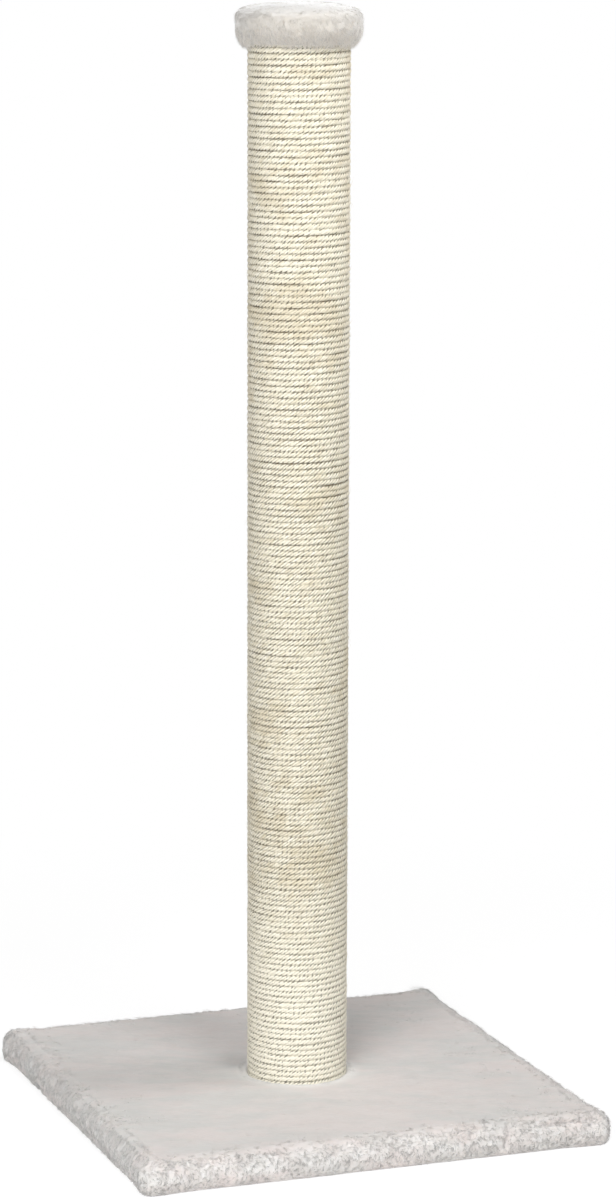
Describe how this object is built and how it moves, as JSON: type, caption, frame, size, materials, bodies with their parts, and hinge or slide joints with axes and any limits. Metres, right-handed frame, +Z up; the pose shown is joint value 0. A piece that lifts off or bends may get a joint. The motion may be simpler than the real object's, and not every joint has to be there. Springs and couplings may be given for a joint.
{
  "type": "cat scratching post",
  "caption": "Tall free-standing scratching post: square plush-covered base, round post wound full height with sisal rope, and a round plush cap.",
  "frame": {"origin": "on the floor under the middle of the base", "axes": "+Z up along the post, X and Y along the sides of the square base"},
  "size_m": [0.45, 0.45, 1.041],
  "materials": {
    "plush": "pale grey plush, pile brushed in patches, soft sheen",
    "sisal": "cream three-strand twisted sisal, dry and fibrous",
    "particle_board": "raw particle board, flaked",
    "fibreboard": "raw fibreboard",
    "plug_wood": "raw softwood",
    "tube_card": "spiral-wound brown cardboard",
    "zinc_steel": "bright zinc plate",
    "staple_wire": "drawn steel wire"
  },
  "bodies": {
    "root": {"base_board": "particle_board", "base_plush_cover": "plush", "base_hem_staples": "staple_wire", "base_bolt": "zinc_steel", "base_washer": "zinc_steel", "core_tube": "tube_card", "bottom_plug": "plug_wood", "bottom_tee_nut": "zinc_steel", "bottom_plug_nails": "staple_wire", "rope_wrap": "sisal", "rope_end_turns": "sisal", "rope_end_nails": "staple_wire", "top_plug": "plug_wood", "top_tee_nut": "zinc_steel", "top_plug_nails": "staple_wire", "cap_disc": "fibreboard", "cap_stud": "zinc_steel", "cap_plush_cover": "plush", "cap_hem_staples": "staple_wire"}
  },
  "joints": []
}
